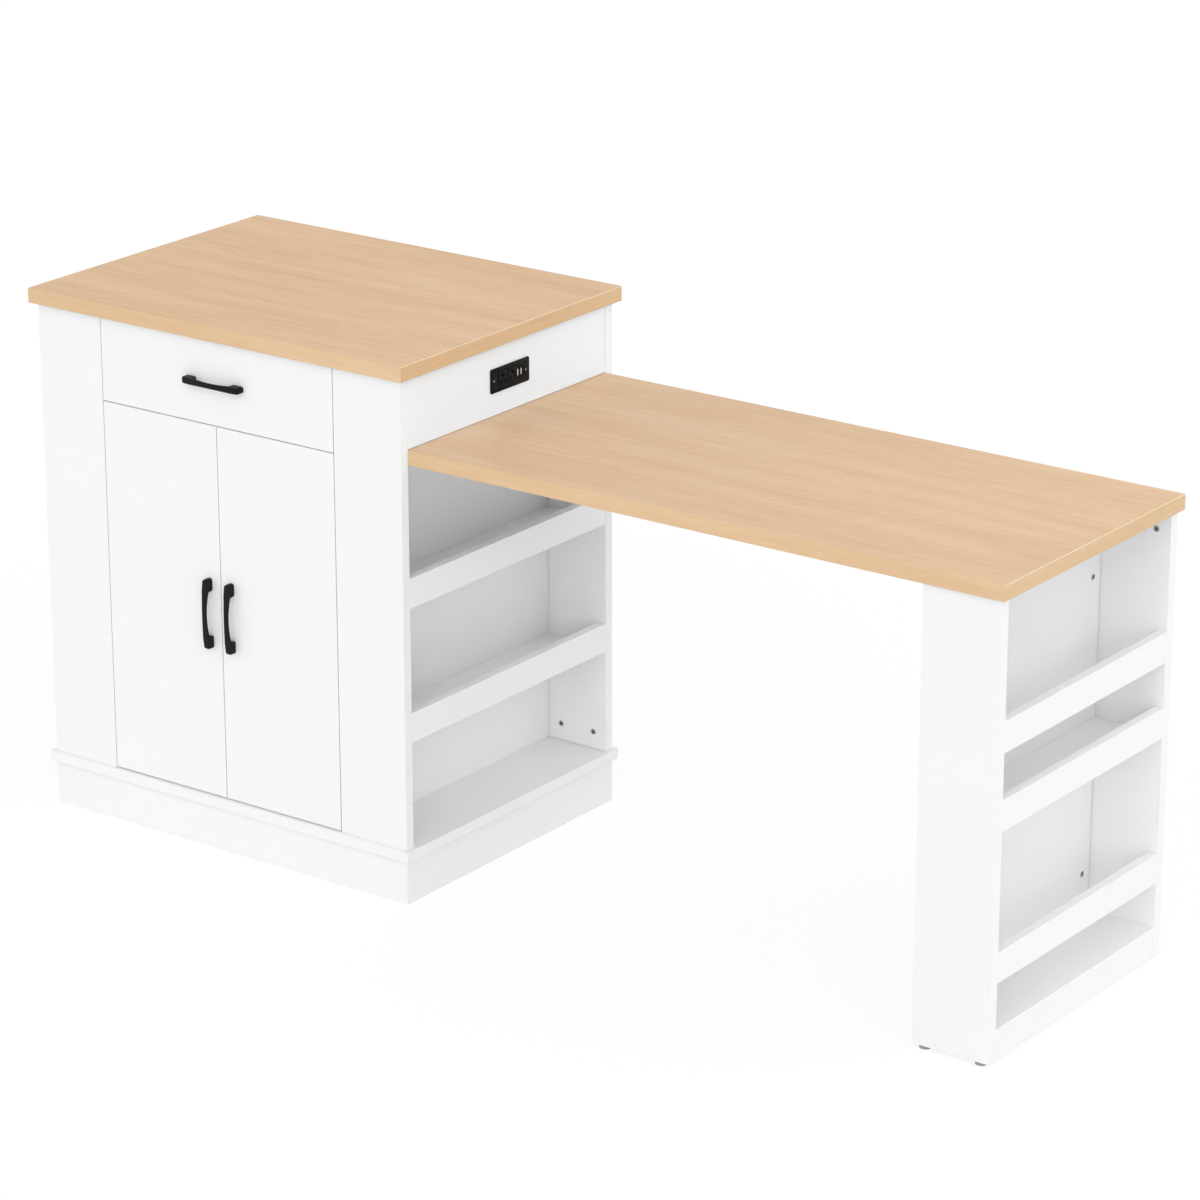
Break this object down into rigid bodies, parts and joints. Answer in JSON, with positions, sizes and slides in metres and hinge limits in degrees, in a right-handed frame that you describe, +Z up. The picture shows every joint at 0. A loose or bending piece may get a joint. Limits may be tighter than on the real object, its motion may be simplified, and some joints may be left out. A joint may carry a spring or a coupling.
{
  "type": "kitchen island unit",
  "caption": "Kitchen island: white cupboard with drawer, doors and open side bays under an oak top, and a lower oak table on a shelved leg.",
  "frame": {"origin": "floor level at the centre of the whole unit's outline, pulls included", "axes": "+X from the cupboard block towards the table's free end, +Y from the front to the back, +Z up"},
  "size_m": [1.8424, 0.5846, 0.9],
  "materials": {
    "oak": "satin light oak effect board with fine straight grain",
    "white_melamine": "smooth satin white melamine board",
    "black_metal": "matt black powder coat",
    "black_plastic": "semi-gloss black moulded plastic",
    "grey_plastic": "matt grey moulded plastic",
    "steel": "zinc plated sheet steel"
  },
  "bodies": {
    "frame": {"worktop": "oak", "tabletop": "oak", "base_panel": "white_melamine", "plinth_front": "white_melamine", "plinth_back": "white_melamine", "plinth_left": "white_melamine", "plinth_right": "white_melamine", "front_board_left": "white_melamine", "front_board_right": "white_melamine", "back_panel": "white_melamine", "inner_wall_left": "white_melamine", "inner_wall_right": "white_melamine", "header_left": "white_melamine", "power_panel": "white_melamine", "cupboard_shelf": "white_melamine", "bay_left_lower_shelf": "white_melamine", "bay_left_lower_lip": "white_melamine", "bay_left_upper_shelf": "white_melamine", "bay_left_upper_lip": "white_melamine", "bay_right_lower_shelf": "white_melamine", "bay_right_lower_lip": "white_melamine", "bay_right_upper_shelf": "white_melamine", "bay_right_upper_lip": "white_melamine", "leg_front_panel": "white_melamine", "leg_back_panel": "white_melamine", "leg_inner_panel": "white_melamine", "leg_bottom_shelf": "white_melamine", "leg_kick_board": "white_melamine", "leg_mid_shelf": "white_melamine", "leg_rail_low": "white_melamine", "leg_rail_mid": "white_melamine", "leg_rail_high": "white_melamine", "glide_front_left": "grey_plastic", "glide_front_right": "grey_plastic", "glide_back_left": "grey_plastic", "glide_back_right": "grey_plastic", "power_plate": "black_plastic", "power_housing": "black_plastic", "slide_channel_left": "steel", "slide_channel_right": "steel", "hinge_arm_left_lower": "steel", "hinge_arm_left_upper": "steel", "hinge_arm_right_lower": "steel", "hinge_arm_right_upper": "steel"},
    "drawer": {"drawer_front": "white_melamine", "drawer_side_left": "white_melamine", "drawer_side_right": "white_melamine", "drawer_back": "white_melamine", "drawer_bottom": "white_melamine", "drawer_pull": "black_metal", "slide_runner_left": "steel", "slide_runner_right": "steel"},
    "door_left": {"door_left": "white_melamine", "door_pull_left": "black_metal", "hinge_cup_left_lower": "steel", "hinge_cup_left_upper": "steel"},
    "door_right": {"door_right": "white_melamine", "door_pull_right": "black_metal", "hinge_cup_right_lower": "steel", "hinge_cup_right_upper": "steel"}
  },
  "joints": [
    {"name": "drawer_slide", "type": "slide", "parent": "frame", "child": "drawer", "axis": [0, -1, 0], "range_m": [0, 0.33]},
    {"name": "door_left_hinge", "type": "hinge", "parent": "frame", "child": "door_left", "pos_m": [-0.7545, -0.2663, 0.4132], "axis": [0, 0, -1], "range_deg": [0, 100]},
    {"name": "door_right_hinge", "type": "hinge", "parent": "frame", "child": "door_right", "pos_m": [-0.3139, -0.2663, 0.4132], "axis": [0, 0, 1], "range_deg": [0, 100]}
  ]
}
